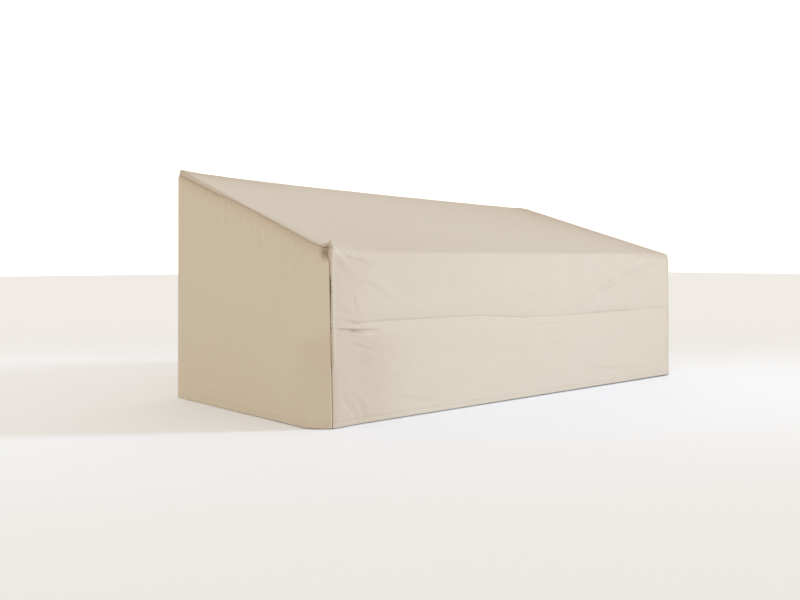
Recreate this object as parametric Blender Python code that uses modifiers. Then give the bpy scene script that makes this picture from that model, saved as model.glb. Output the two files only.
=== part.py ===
"""A fitted outdoor sofa cover, empty: cloth sewn into a wedge with a high back and a low front.

Metres, +Z up. The front faces -Y and the width runs along X. The origin is on the ground under
the middle of the cover. Four cloths are sewn together: one that is the top and the front, two
ends that wrap round the upright corners, and the back. Each is an open sheet given its
thickness, with its seam edges turned in and its hem turned up inside.
"""

from collections import namedtuple
from math import asin, atan2, cos, exp, hypot, pi, radians, sin, sqrt

import bmesh
import bpy
from mathutils import Vector

# Sewn size.
WIDTH = 2.180
DEPTH = 1.110
BACK_HEIGHT = 1.010
FRONT_HEIGHT = 0.635

# Cloth and sewing.
CLOTH = 0.002  # thickness
ALLOWANCE = 0.011  # how far a seam edge is turned in
GROOVE = 0.0025  # how deep a seam lies under the cloth beside it
SEAM_HALF = 0.00125  # from the seam's line to the middle of each cloth's turned-in edge
BUTT_HALF = 0.0006  # the same where the hem leaves no room for a turned-in edge
HEM_TURN = 0.022  # how far the hem is turned up
HEM_FOLD = 0.0034  # between the two layers of the hem
HEM_BEND = 0.0014  # height of the hem's rounded bottom
HEM_CLEAR = 0.030  # the turned-in seam edges stop this far above the hem

LEFT, RIGHT = -1, 1
FRONT, BACK = -1, 1

# The upright corners: plan radius at the top and at the hem, and how far round the corner the
# end cloth goes before its seam, in degrees. At a pinched corner it runs straight on from half
# way round, so that the seam stands out as a soft ridge.
Corner = namedtuple("Corner", "top_radius hem_radius wrap pinched")
CORNERS = {
    (LEFT, FRONT): Corner(0.071, 0.090, 75.5, True),
    (RIGHT, FRONT): Corner(0.026, 0.030, 73, False),
    (LEFT, BACK): Corner(0.020, 0.022, 80, False),
    (RIGHT, BACK): Corner(0.080, 0.080, 80, False),
}
HALF_WAY = pi / 4
PINCH_FADE = 0.150  # how far from a pinched seam the front is back in its plane
LEAN = {LEFT: 0.002, RIGHT: 0.006}  # how far each end leans in, up to the height of the front

# The two long edges of the top: how far each has sunk below its sewn height, and the reach and
# drop of the roll over it. The ridge sinks towards the right.
Edge = namedtuple("Edge", "x sink reach drop")
RIDGE = (
    Edge(-1.090, -0.0035, 0.016, 0.026),
    Edge(-0.990, 0.0080, 0.016, 0.026),
    Edge(-0.740, 0.0235, 0.018, 0.026),
    Edge(-0.470, 0.0350, 0.020, 0.026),
    Edge(-0.170, 0.0460, 0.022, 0.027),
    Edge(0.155, 0.0570, 0.024, 0.028),
    Edge(0.520, 0.0680, 0.028, 0.030),
    Edge(0.900, 0.0750, 0.060, 0.038),
    Edge(1.090, 0.0750, 0.080, 0.045),
)
# The front edge is a soft fold, rounder at the left where the corner is bunched up.
FRONT_EDGE = (
    Edge(-1.090, -0.029, 0.060, 0.010),
    Edge(-1.035, -0.027, 0.060, 0.013),
    Edge(-1.000, -0.021, 0.060, 0.024),
    Edge(-0.900, -0.009, 0.046, 0.028),
    Edge(-0.780, -0.002, 0.026, 0.019),
    Edge(-0.600, -0.002, 0.018, 0.014),
    Edge(0.850, -0.002, 0.018, 0.014),
    Edge(1.090, 0.003, 0.024, 0.020),
)
# The roll over the sloped side edges, and how far it drops at each y: most of it near the ridge.
SIDE_REACH = 0.018
SideDrop = namedtuple("SideDrop", "y left right")
SIDE_DROP = (
    SideDrop(-0.555, 0.006, 0.014),
    SideDrop(-0.080, 0.006, 0.021),
    SideDrop(0.045, 0.009, 0.023),
    SideDrop(0.200, 0.019, 0.025),
    SideDrop(0.330, 0.023, 0.027),
    SideDrop(0.555, 0.027, 0.030),
)
TOP_SAG = 0.008

# The hem isn't quite level: its height at each corner.
HEM = {(LEFT, FRONT): 0.0034, (RIGHT, FRONT): 0.0062, (LEFT, BACK): 0.0016, (RIGHT, BACK): 0.0030}

# The packing crease across the front.
Crease = namedtuple("Crease", "x height depth")
CREASE = (
    Crease(-1.090, 0.362, 0.0050),
    Crease(-1.030, 0.361, 0.0060),
    Crease(-0.950, 0.350, 0.0065),
    Crease(-0.840, 0.348, 0.0045),
    Crease(-0.700, 0.368, 0.0030),
    Crease(-0.290, 0.356, 0.0025),
    Crease(-0.040, 0.353, 0.0030),
    Crease(0.270, 0.340, 0.0025),
    Crease(0.435, 0.352, 0.0035),
    Crease(0.680, 0.352, 0.0035),
    Crease(0.930, 0.361, 0.0025),
    Crease(1.090, 0.362, 0.0015),
)
CREASE_HALF = 0.014

# Soft folds in the front: a line from one point to another, its half width, and how far it
# stands out, or in where that is negative.
Fold = namedtuple("Fold", "x1 z1 x2 z2 half_width rise")
FRONT_FOLDS = (
    Fold(-1.000, 0.640, -0.830, 0.580, 0.024, -0.0055),
    Fold(-1.000, 0.600, -0.860, 0.520, 0.026, 0.0045),
    Fold(-0.960, 0.530, -0.800, 0.430, 0.030, -0.0030),
    Fold(-0.990, 0.322, -0.840, 0.288, 0.018, 0.0030),
    Fold(-0.990, 0.285, -0.850, 0.245, 0.018, -0.0030),
    Fold(-0.980, 0.110, -0.860, 0.075, 0.022, 0.0030),
    Fold(0.880, 0.610, 0.330, 0.380, 0.030, 0.0035),
    Fold(0.960, 0.600, 0.560, 0.370, 0.032, -0.0030),
    Fold(1.000, 0.520, 0.700, 0.370, 0.030, 0.0025),
)
# Broad swells of the hanging cloth: where, how wide and high, and how far out.
Swell = namedtuple("Swell", "along height half_length half_height rise")
FRONT_SWELLS = (
    Swell(-0.550, 0.200, 0.350, 0.150, 0.004),
    Swell(0.350, 0.170, 0.450, 0.140, 0.005),
    Swell(-0.100, 0.500, 0.500, 0.090, 0.003),
)
END_SWELLS = (
    Swell(0.100, 0.400, 0.300, 0.250, 0.005),
    Swell(-0.330, 0.180, 0.140, 0.150, 0.003),
)
BACK_SWELLS = (
    Swell(-0.450, 0.450, 0.400, 0.300, 0.005),
    Swell(0.500, 0.400, 0.400, 0.260, 0.006),
)
# The gathers under the sloped seam of the left end: short upright ripples.
PUCKER_PITCH = 0.078
PUCKER_RISE = 0.003
PUCKER_LENGTH = 0.075
# The tuck at the front left corner: both cloths are drawn into a hollow beside a bunched-up lip.
Lump = namedtuple("Lump", "past_seam y z radius rise")
HOLLOW = Lump(-0.022, -0.541, 0.632, 0.030, -0.012)
BUNCH = Lump(0.013, -0.557, 0.646, 0.026, 0.007)

# Knots of the sheets: the distances of the columns from an upright seam, the columns between,
# the turns round the rolls in degrees, and the rows between.
NEAR_SEAM = (0.0, 0.006, 0.018, 0.042)
LEFT_ZONE = -0.640  # the columns lie closer together on the left of this
LEFT_COLUMNS, RIGHT_COLUMNS = 14, 28
RIDGE_TURNS = (0, 30, 60, 90)
FRONT_TURNS = (90, 64, 38, 0)
TOP_ROWS = 9
ABOVE_CREASE, BELOW_CREASE = 7, 8
BELOW_SEAM = (0.006, 0.030, 0.062)
END_ROWS = {LEFT: 9, RIGHT: 5}
COLUMNS_PER_ROW = {LEFT: 3, RIGHT: 1}  # columns of an end between two rows of the top
BACK_ROWS = 5
HEM_STEPS = 3
STEEPNESS_STEP = 0.004  # how far to either side a seam's steepness is read

SAND = (0.62, 0.52, 0.39, 1.0)


def blend(start, end, part):
    """The value that lies a part of the way from start to end."""
    return start + (end - start) * part


def ease(part):
    """A part from 0 to 1, eased at both ends."""
    part = min(max(part, 0.0), 1.0)
    return part * part * (3 - 2 * part)


def read(table, place, column):
    """One column of a table whose rows are sorted by their first one, read between its rows."""
    for low, high in zip(table, table[1:]):
        if place <= high[0]:
            break
    part = min(max((place - low[0]) / (high[0] - low[0]), 0.0), 1.0)
    return blend(getattr(low, column), getattr(high, column), part)


def sign(value):
    return 1 if value > 0 else -1


# ---------------------------------------------------------------- the outline in plan


def half_width(side, z):
    return WIDTH / 2 - LEAN[side] * min(z / FRONT_HEIGHT, 1.0)


def corner_radius(side, end, z):
    corner = CORNERS[side, end]
    return blend(corner.hem_radius, corner.top_radius, min(z / FRONT_HEIGHT, 1.0))


def corner_centre(side, end, z):
    """The centre of a corner's arc, as distances from the middle of the cover."""
    radius = corner_radius(side, end, z)
    return half_width(side, z) - radius, DEPTH / 2 - radius


def corner_stretch(side, end, turn):
    """How much further out than its arc a corner is, a turn round it."""
    if CORNERS[side, end].pinched:
        return 1 / cos(max(turn - HALF_WAY, 0.0))
    return 1.0


def corner_point(side, end, turn, z):
    """The outline a turn round one of its corners, from the side towards the front or back."""
    centre_x, centre_y = corner_centre(side, end, z)
    reach = corner_radius(side, end, z) * corner_stretch(side, end, turn)
    return Vector((side * (centre_x + reach * cos(turn)), end * (centre_y + reach * sin(turn)), z))


def seam_point(side, end, z):
    """Where an upright seam stands."""
    return corner_point(side, end, radians(CORNERS[side, end].wrap), z)


def seam_outward(side, end):
    """The direction straight out of the outline at an upright seam."""
    wrap = radians(CORNERS[side, end].wrap)
    return Vector((side * cos(wrap), end * sin(wrap), 0))


def corner_turn(side, end, past, radius):
    """How far round a corner its outline is, a distance past the centre towards the end."""
    if CORNERS[side, end].pinched and past > radius * sin(HALF_WAY):
        return atan2(past, radius / cos(HALF_WAY) - past)
    return asin(min(past / radius, 1.0))


def side_x(side, y, z):
    """Where the outline's left or right side is at y: drawn in round the corners."""
    end = sign(y)
    centre_x, centre_y = corner_centre(side, end, z)
    radius = corner_radius(side, end, z)
    turn = corner_turn(side, end, max(abs(y) - centre_y, 0.0), radius)
    return side * (centre_x + radius * corner_stretch(side, end, turn) * cos(turn))


def wall_y(end, x, z):
    """Where the front or the back is at x, as if its corners were square."""
    side = sign(x)
    if not CORNERS[side, end].pinched:
        return end * DEPTH / 2
    seam = seam_point(side, end, z)
    proud = abs(seam.y) - DEPTH / 2
    return end * (DEPTH / 2 + proud * (1 - ease((abs(seam.x) - abs(x)) / PINCH_FADE)))


def end_y(end, x, z):
    """Where the outline's front or back is at x: drawn in round the corners."""
    side = sign(x)
    centre_x, centre_y = corner_centre(side, end, z)
    radius = corner_radius(side, end, z)
    past = min(max(abs(x) - centre_x, 0.0), radius)
    if CORNERS[side, end].pinched and past < radius * cos(HALF_WAY):
        return end * min(abs(wall_y(end, x, z)), centre_y + radius / cos(HALF_WAY) - past)
    return end * (centre_y + sqrt(radius**2 - past**2))


def outward(x, y, z):
    """The direction straight out of the outline near x, y."""
    centre_x, centre_y = corner_centre(sign(x), sign(y), z)
    past_x, past_y = abs(x) - centre_x, abs(y) - centre_y
    if past_x > 0 and past_y > 0:
        return Vector((sign(x) * past_x, sign(y) * past_y, 0)).normalized()
    if past_x > past_y:
        return Vector((sign(x), 0, 0))
    return Vector((0, sign(y), 0))


def hem_height(x, y):
    part_x, part_y = x / WIDTH + 0.5, y / DEPTH + 0.5
    front = blend(HEM[LEFT, FRONT], HEM[RIGHT, FRONT], part_x)
    back = blend(HEM[LEFT, BACK], HEM[RIGHT, BACK], part_x)
    return blend(front, back, part_y)


# ---------------------------------------------------------------- the top


def top_height(x, y):
    """The slope from the front edge to the ridge, before its edges roll over."""
    part = y / DEPTH + 0.5
    across = 1 - (2 * x / WIDTH) ** 2
    sag = TOP_SAG * sin(pi * min(max(part, 0.0), 1.0)) * max(across, 0.0)
    front, ridge = FRONT_HEIGHT - read(FRONT_EDGE, x, "sink"), BACK_HEIGHT - read(RIDGE, x, "sink")
    return blend(front, ridge, part) - sag


def roll_drop(inside, reach, drop):
    """How far the cloth has sunk where it rolls over an edge, a distance inside the outline."""
    near = min(max(1 - inside / reach, 0.0), 1.0)
    return drop * (1 - sqrt(1 - near**2))


def edge_drop(x, y):
    """How far the top has sunk near its edges."""
    side, end = sign(x), sign(y)
    centre_x, centre_y = corner_centre(side, end, FRONT_HEIGHT)
    edge = RIDGE if end == BACK else FRONT_EDGE
    end_reach, end_drop = read(edge, x, "reach"), read(edge, x, "drop")
    side_drop = read(SIDE_DROP, y, "left" if side == LEFT else "right")
    past_x, past_y = abs(x) - centre_x, abs(y) - centre_y
    wall = abs(wall_y(end, x, FRONT_HEIGHT))
    if past_x > 0 and past_y > 0:
        turn = atan2(past_y, past_x)
        rim = corner_radius(side, end, FRONT_HEIGHT) * corner_stretch(side, end, turn)
        if CORNERS[side, end].pinched and turn > radians(CORNERS[side, end].wrap):
            rim = (wall - centre_y) / sin(turn)
        reach = blend(SIDE_REACH, end_reach, turn / (pi / 2))
        drop = blend(side_drop, end_drop, ease(turn / (pi / 2)))
        return roll_drop(rim - hypot(past_x, past_y), reach, drop)
    over_side = roll_drop(half_width(side, FRONT_HEIGHT) - abs(x), SIDE_REACH, side_drop)
    return over_side + roll_drop(wall - abs(y), end_reach, end_drop)


def top_point(x, y):
    return Vector((x, y, top_height(x, y) - edge_drop(x, y)))


# Where the slope starts and ends among the rows of knots on the top, and how many rows it has.
SLOPE_START = len(RIDGE_TURNS) - 1
SLOPE_END = SLOPE_START + TOP_ROWS + 1
TOP_KNOTS = SLOPE_END + len(FRONT_TURNS)


def top_y(row, x):
    """The y of a row of knots on the top, from 0 at the ridge to the last at the front edge."""
    back = wall_y(BACK, x, FRONT_HEIGHT) - read(RIDGE, x, "reach")
    front = wall_y(FRONT, x, FRONT_HEIGHT) + read(FRONT_EDGE, x, "reach")
    if row <= SLOPE_START:
        y = back + read(RIDGE, x, "reach") * cos(radians(RIDGE_TURNS[row]))
        return min(y, end_y(BACK, x, FRONT_HEIGHT))
    if row >= SLOPE_END:
        y = front - read(FRONT_EDGE, x, "reach") * cos(radians(FRONT_TURNS[row - SLOPE_END]))
        return max(y, end_y(FRONT, x, FRONT_HEIGHT))
    return blend(back, front, (row - SLOPE_START) / (SLOPE_END - SLOPE_START))


def side_y(side, row):
    """The y at which a row of the top meets the seam of an end: evenly round the corners."""
    if SLOPE_START < row < SLOPE_END:
        straight = [end * corner_centre(side, end, FRONT_HEIGHT)[1] for end in (BACK, FRONT)]
        return blend(*straight, (row - SLOPE_START) / (SLOPE_END - SLOPE_START))
    end = BACK if row <= SLOPE_START else FRONT
    part = 1 - row / SLOPE_START if end == BACK else (row - SLOPE_END) / (len(FRONT_TURNS) - 1)
    return corner_point(side, end, radians(CORNERS[side, end].wrap) * part, FRONT_HEIGHT).y


def seam_height(side, y):
    """The height of the seam between the top and an end at y."""
    return top_point(side_x(side, y, FRONT_HEIGHT), y).z


def seam_lift(side, y):
    """Half a seam measured upright, which is more where the seam is steep."""
    ends = []
    for beside in (y - STEEPNESS_STEP, y + STEEPNESS_STEP):
        ends.append(Vector((side_x(side, beside, FRONT_HEIGHT), beside, seam_height(side, beside))))
    climb = ends[1] - ends[0]
    return SEAM_HALF * hypot(1.0, climb.z / climb.xy.length)


# ---------------------------------------------------------------- folds and swells


def swell_rise(swells, along, height):
    """How far the broad swells push the cloth out."""
    rise = 0.0
    for swell in swells:
        away_along = (along - swell.along) / swell.half_length
        away_up = (height - swell.height) / swell.half_height
        rise += swell.rise * exp(-(away_along**2) - away_up**2)
    return rise


def fold_rise(fold, x, z):
    """How far one soft fold pushes the cloth out, tapering to nothing past its ends."""
    along_x, along_z = fold.x2 - fold.x1, fold.z2 - fold.z1
    length = hypot(along_x, along_z)
    part = ((x - fold.x1) * along_x + (z - fold.z1) * along_z) / length**2
    across = ((x - fold.x1) * along_z - (z - fold.z1) * along_x) / length
    taper = ease(part / 0.4 + 0.5) * ease((1 - part) / 0.6 + 0.5)
    return fold.rise * taper * exp(-((across / fold.half_width) ** 2))


def front_rise(x, z):
    """How far the front stands out of its plane."""
    rise = swell_rise(FRONT_SWELLS, x, z) + sum(fold_rise(fold, x, z) for fold in FRONT_FOLDS)
    from_crease = (z - read(CREASE, x, "height")) / CREASE_HALF
    rise -= read(CREASE, x, "depth") * exp(-(from_crease**2))
    from_left = x - seam_point(LEFT, FRONT, z).x
    from_right = seam_point(RIGHT, FRONT, z).x - x
    return rise * ease(from_left / 0.030) * ease(from_right / 0.030) * ease(z / 0.050)


def end_rise(side, y, z):
    """How far an end stands out of its plane."""
    rise = swell_rise(END_SWELLS, y, z)
    below = seam_height(side, y) - z
    if side == LEFT:
        ripple = cos(2 * pi * y / PUCKER_PITCH) + 0.4 * cos(2 * pi * y / (1.7 * PUCKER_PITCH) + 1)
        rise += PUCKER_RISE * ripple * ease(below / 0.025) * exp(-below / PUCKER_LENGTH)
    return rise * ease((DEPTH / 2 - abs(y)) / 0.120) * ease(z / 0.050)


def back_rise(x, z):
    """How far the back stands out of its plane."""
    calm = ease((WIDTH / 2 - abs(x)) / 0.200) * ease(z / 0.050)
    return swell_rise(BACK_SWELLS, x, z) * calm


def lump_rise(lump, point):
    """How far a lump of the front left corner pushes the cloth out, or in where negative."""
    centre = Vector((seam_point(LEFT, FRONT, lump.z).x + lump.past_seam, lump.y, lump.z))
    return lump.rise * exp(-(((point - centre).length / lump.radius) ** 2))


# ---------------------------------------------------------------- sheets


def sheet(name, columns, rows, place, cut):
    """A grid of cloth with its knots put in place, without the squares that are cut away."""
    grid = bmesh.new()
    bmesh.ops.create_grid(grid, x_segments=columns, y_segments=rows, size=0.5)
    knots = {}
    for knot in grid.verts:
        knots[knot] = (round((knot.co.x + 0.5) * columns), round((0.5 - knot.co.y) * rows))
    waste = []
    for square in grid.faces:
        corner = [min(knots[knot][i] for knot in square.verts) for i in (0, 1)]
        if cut(*corner):
            waste.append(square)
    for knot, (column, row) in knots.items():
        knot.co = place(column, row)
    bmesh.ops.delete(grid, geom=waste, context="FACES")
    mesh = bpy.data.meshes.new(name)
    grid.to_mesh(mesh)
    grid.free()
    mesh.shade_smooth()
    cloth = bpy.data.objects.new(name, mesh)
    thickness = cloth.modifiers.new("Thickness", "SOLIDIFY")
    thickness.thickness = CLOTH
    thickness.offset = 0
    thickness.use_even_offset = True
    return cloth


def hem_knot(point, direction, step):
    """A knot of the hem: 1 at its bottom, then 2 and 3 going up inside."""
    if step == 1:
        return point - direction * HEM_FOLD / 2
    lift = HEM_BEND if step == 2 else HEM_TURN
    return point - direction * HEM_FOLD + Vector((0, 0, lift))


SPAN_COLUMNS = 2 * len(NEAR_SEAM) + LEFT_COLUMNS + RIGHT_COLUMNS


def span_x(column, left, right):
    """The x of a column of knots that runs across the cover between two seams."""
    from_left = min(max(column - 1, 0), SPAN_COLUMNS - 2)
    from_right = SPAN_COLUMNS - 2 - from_left
    near = len(NEAR_SEAM)
    if from_left < near:
        return left + NEAR_SEAM[from_left]
    if from_right < near:
        return right - NEAR_SEAM[from_right]
    step = from_left - near + 1
    if step <= LEFT_COLUMNS:
        return blend(left + NEAR_SEAM[-1], LEFT_ZONE, step / LEFT_COLUMNS)
    return blend(LEFT_ZONE, right - NEAR_SEAM[-1], (step - LEFT_COLUMNS) / RIGHT_COLUMNS)


def wall_z(row, rows, top, hem):
    """The height of a row of an end or the back: 1 is the seam at its top, the last the hem."""
    row = min(max(row, 1), rows)
    if row == 1:
        return top
    if row - 2 < len(BELOW_SEAM):
        return top - BELOW_SEAM[row - 2]
    start = len(BELOW_SEAM) + 1
    return blend(top - BELOW_SEAM[-1], hem + HEM_BEND, (row - start) / (rows - start))


def crease_z(row, x):
    """The height of a row of the front: 0 is the front edge, and the rows follow the crease."""
    crease = read(CREASE, x, "height")
    above, below = crease + CREASE_HALF, crease - CREASE_HALF
    if row < ABOVE_CREASE:
        top = top_point(x, end_y(FRONT, x, FRONT_HEIGHT)).z
        return blend(top, above, row / ABOVE_CREASE)
    if row == ABOVE_CREASE:
        return above
    if row == ABOVE_CREASE + 1:
        return crease
    hem = hem_height(x, -DEPTH / 2) + HEM_BEND
    return blend(below, hem, min((row - ABOVE_CREASE - 2) / BELOW_CREASE, 1.0))


def make_top_and_front():
    """One cloth: over the ridge, down the slope, over the front edge and down to the hem."""
    wall_rows = ABOVE_CREASE + 2 + BELOW_CREASE
    rows = TOP_KNOTS + wall_rows + HEM_STEPS

    def top_knot(column, row):
        ends = [side_y(side, row) for side in (LEFT, RIGHT)]
        x = span_x(column, *[side_x(side, y, FRONT_HEIGHT) for side, y in zip((LEFT, RIGHT), ends)])
        y = top_y(row, x)
        side = sign(x)
        met = ends[0] if side == LEFT else ends[1]
        from_seam = abs(side_x(side, met, FRONT_HEIGHT) - x)
        if 0 < row < TOP_KNOTS - 1 or from_seam == 0:
            y = blend(met, y, ease(from_seam / NEAR_SEAM[-1]))
        point = top_point(x, y)
        over = max(1 - (y + DEPTH / 2) / read(FRONT_EDGE, x, "reach"), 0.0)
        point.y -= front_rise(x, point.z) * over**2
        return point, outward(x, y, FRONT_HEIGHT)

    def front_knot(column, row):
        ends = [seam_point(side, FRONT, FRONT_HEIGHT).x for side in (LEFT, RIGHT)]
        z = crease_z(row, span_x(column, *ends))
        x = span_x(column, *[seam_point(side, FRONT, z).x for side in (LEFT, RIGHT)])
        point = Vector((x, end_y(FRONT, x, z), z))
        direction = outward(*point)
        return point + direction * front_rise(x, z), direction

    def place(column, row):
        at_side = column <= 1 or column >= SPAN_COLUMNS - 1
        turned = column in (0, SPAN_COLUMNS) or row == 0
        top_row = max(row - 1, 0)
        step = row - TOP_KNOTS - wall_rows
        if top_row < TOP_KNOTS:
            point, direction = top_knot(column, top_row)
        else:
            point, direction = front_knot(column, row - TOP_KNOTS)
        if at_side:
            point += direction * lump_rise(HOLLOW, point)
        elif top_row > SLOPE_START:
            point += (direction + Vector((0, 0, 1))) * lump_rise(BUNCH, point)
        # Keep half a seam away from the cloth that is sewn on.
        if at_side and top_row < TOP_KNOTS:
            side = sign(point.x)
            point.z += seam_lift(side, side_y(side, top_row))
        elif top_row == 0:
            point.z += SEAM_HALF
        if at_side and top_row >= TOP_KNOTS - 1:
            half = SEAM_HALF if point.z > HEM_CLEAR else BUTT_HALF
            point.x += half if column <= 1 else -half
            direction = seam_outward(sign(point.x), FRONT)
        if step > 0:
            point.z = hem_height(point.x, point.y)
            return hem_knot(point, direction, step)
        if turned:
            return point - direction * ALLOWANCE
        return point - direction * (GROOVE if at_side or top_row == 0 else 0)

    def cut(column, row):
        return column in (0, SPAN_COLUMNS - 1) and (row == 0 or row >= TOP_KNOTS + wall_rows - 1)

    return sheet("top_and_front", SPAN_COLUMNS, rows, place, cut)


def make_end(side, name):
    """An end: a trapezoid of cloth that wraps round its two upright corners."""
    rows_met = [side_y(side, row) for row in range(TOP_KNOTS)]
    heights = [seam_height(side, y) - seam_lift(side, y) for y in rows_met]
    stations = [(rows_met[0], heights[0])]
    for row, (here, there) in enumerate(zip(rows_met, rows_met[1:])):
        steps = COLUMNS_PER_ROW[side] if SLOPE_START <= row < SLOPE_END else 1
        for step in range(1, steps + 1):
            height = blend(*heights[row : row + 2], step / steps)
            stations.append((blend(here, there, step / steps), height))
    columns = len(stations) + 1
    wall_rows = 1 + len(BELOW_SEAM) + END_ROWS[side]
    rows = wall_rows + HEM_STEPS

    def place(column, row):
        station = min(max(column - 1, 0), len(stations) - 1)
        y, top = stations[station]
        end = sign(y)
        at_seam = station in (0, len(stations) - 1)
        hem = hem_height(side * WIDTH / 2, y)
        z = wall_z(row, wall_rows, top, hem)
        top_radius, radius = corner_radius(side, end, FRONT_HEIGHT), corner_radius(side, end, z)
        past = abs(y) - (DEPTH / 2 - top_radius)
        if past > 0:
            half = SEAM_HALF if z > HEM_CLEAR else BUTT_HALF
            turn = corner_turn(side, end, past, top_radius) - (half / radius if at_seam else 0)
            point = corner_point(side, end, turn, z)
        else:
            along = y * corner_centre(side, end, z)[1] / corner_centre(side, end, FRONT_HEIGHT)[1]
            point = Vector((side * half_width(side, z), along, z))
        direction = seam_outward(side, end) if at_seam else outward(*point)
        point += direction * end_rise(side, y, z)
        if side == LEFT:
            point += direction * lump_rise(HOLLOW, point)
        step = row - wall_rows
        if step > 0:
            point.z = hem
            return hem_knot(point, direction, step)
        if row == 0 or column in (0, columns):
            return point - direction * ALLOWANCE
        return point - direction * (GROOVE if at_seam or row == 1 else 0)

    def cut(column, row):
        return column in (0, columns - 1) and (row == 0 or row >= wall_rows - 1)

    return sheet(name, columns, rows, place, cut)


def make_back():
    """The tall upright cloth at the back."""
    wall_rows = 1 + len(BELOW_SEAM) + BACK_ROWS
    rows = wall_rows + HEM_STEPS

    def place(column, row):
        at_side = column <= 1 or column >= SPAN_COLUMNS - 1
        ends = [seam_point(side, BACK, FRONT_HEIGHT).x for side in (LEFT, RIGHT)]
        x = span_x(column, *ends)
        top = top_point(x, end_y(BACK, x, FRONT_HEIGHT)).z - SEAM_HALF
        z = wall_z(row, wall_rows, top, hem_height(x, DEPTH / 2))
        x = span_x(column, *[seam_point(side, BACK, z).x for side in (LEFT, RIGHT)])
        if at_side:
            half = SEAM_HALF if z > HEM_CLEAR else BUTT_HALF
            x += half if column <= 1 else -half
        point = Vector((x, end_y(BACK, x, z), z))
        direction = seam_outward(sign(x), BACK) if at_side else outward(*point)
        point += direction * back_rise(x, z)
        step = row - wall_rows
        if step > 0:
            point.z = hem_height(x, DEPTH / 2)
            return hem_knot(point, direction, step)
        if row == 0 or column in (0, SPAN_COLUMNS):
            return point - direction * ALLOWANCE
        return point - direction * (GROOVE if at_side or row == 1 else 0)

    def cut(column, row):
        return column in (0, SPAN_COLUMNS - 1) and (row == 0 or row >= wall_rows - 1)

    return sheet("back", SPAN_COLUMNS, rows, place, cut)


def cloth_material(name, shade):
    """Woven polyester, coated inside: matt, with each cloth a little lighter or darker."""
    material = bpy.data.materials.new(name)
    material.use_nodes = True
    surface = material.node_tree.nodes["Principled BSDF"]
    surface.inputs["Base Color"].default_value = [channel * shade for channel in SAND[:3]] + [1.0]
    surface.inputs["Roughness"].default_value = 0.85
    surface.inputs["Metallic"].default_value = 0.0
    return material


def build():
    for old in list(bpy.data.objects):
        bpy.data.objects.remove(old, do_unlink=True)
    cover = bpy.data.collections.new("outdoor_sofa_cover")
    bpy.context.scene.collection.children.link(cover)
    cloths = (
        (make_top_and_front(), 1.0),
        (make_end(LEFT, "left_end"), 0.88),
        (make_end(RIGHT, "right_end"), 0.88),
        (make_back(), 0.92),
    )
    for cloth, shade in cloths:
        cloth.data.materials.append(cloth_material(cloth.name + "_cloth", shade))
        cover.objects.link(cloth)


build()
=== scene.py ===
"""The looks of an outdoor sofa cover: beige woven polyester sewn into a wedge, pulled on and empty.

Metres, +Z up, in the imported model's frame: the low front faces -Y and the width runs along X.
"""

from collections import namedtuple
from math import asin, atan2, cos, exp, hypot, pi, radians, sin, sqrt

import bmesh
import bpy
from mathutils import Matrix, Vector, noise


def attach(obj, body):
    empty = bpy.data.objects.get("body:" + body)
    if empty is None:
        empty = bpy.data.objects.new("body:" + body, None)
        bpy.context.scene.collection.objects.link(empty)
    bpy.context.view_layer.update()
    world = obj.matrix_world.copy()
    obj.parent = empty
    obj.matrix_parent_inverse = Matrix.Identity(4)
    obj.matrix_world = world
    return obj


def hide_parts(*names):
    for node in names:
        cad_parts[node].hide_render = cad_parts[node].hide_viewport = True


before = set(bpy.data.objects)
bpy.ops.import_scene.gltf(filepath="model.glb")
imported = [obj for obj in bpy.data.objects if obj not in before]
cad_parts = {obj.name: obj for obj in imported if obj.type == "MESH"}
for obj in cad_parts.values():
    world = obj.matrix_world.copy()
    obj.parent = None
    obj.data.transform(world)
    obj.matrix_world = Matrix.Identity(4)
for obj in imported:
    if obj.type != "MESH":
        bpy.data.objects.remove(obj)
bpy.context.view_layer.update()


# ---------------------------------------------------------------- camera
# The cover is seen from its front left, with the camera held level a little below the height of
# the front edge. It looks past the right of the cover, so the picture is shifted to the left.

PHOTO_WIDTH, PHOTO_HEIGHT = 800, 600
FOCAL_LENGTH = 896.9  # in pixels of the photograph
STRAIGHT_AHEAD = (510.0, 258.1)  # the pixel that the camera points at
CAMERA_PLACE = (-2.861, -3.288, 0.616)
CAMERA_YAW = 45.15  # degrees from +Y towards +X
SENSOR = 36.0

camera = bpy.data.objects.new("Camera", bpy.data.cameras.new("Camera"))
bpy.context.scene.collection.objects.link(camera)
camera.location = CAMERA_PLACE
camera.rotation_euler = (radians(90), 0, radians(-CAMERA_YAW))
camera.data.sensor_width = SENSOR
camera.data.lens = FOCAL_LENGTH * SENSOR / PHOTO_WIDTH
camera.data.shift_x = (PHOTO_WIDTH / 2 - STRAIGHT_AHEAD[0]) / PHOTO_WIDTH
camera.data.shift_y = (STRAIGHT_AHEAD[1] - PHOTO_HEIGHT / 2) / PHOTO_WIDTH
bpy.context.scene.camera = camera


# ---------------------------------------------------------------- floor and studio light
# A white painted floor in a slightly warm white room, both bright enough to show as plain white,
# with a dimmer ceiling. One soft box with a grid stands low and far to the right: the front takes
# its light, the top less of it, and the left end and its round corner none.

FLOOR_HALF = 30.0
FLOOR_LEVEL = 0.0008  # just under the lowest point of the hem
FLOOR_WHITE = "#F4F8FF"
ROOM_WHITE = "#FFF6EA"
WALL_STRENGTH, CEILING_STRENGTH = 1.50, 0.59
WALL_TOP, CEILING = 0.28, 0.90  # where the dimming starts and ends, as sines of the angle up


def hex_colour(code):
    """An sRGB hex colour as linear red, green, blue and a full alpha."""
    channels = [int(code[i : i + 2], 16) / 255 for i in (1, 3, 5)]
    linear = [c / 12.92 if c <= 0.04045 else ((c + 0.055) / 1.055) ** 2.4 for c in channels]
    return linear + [1.0]


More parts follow.
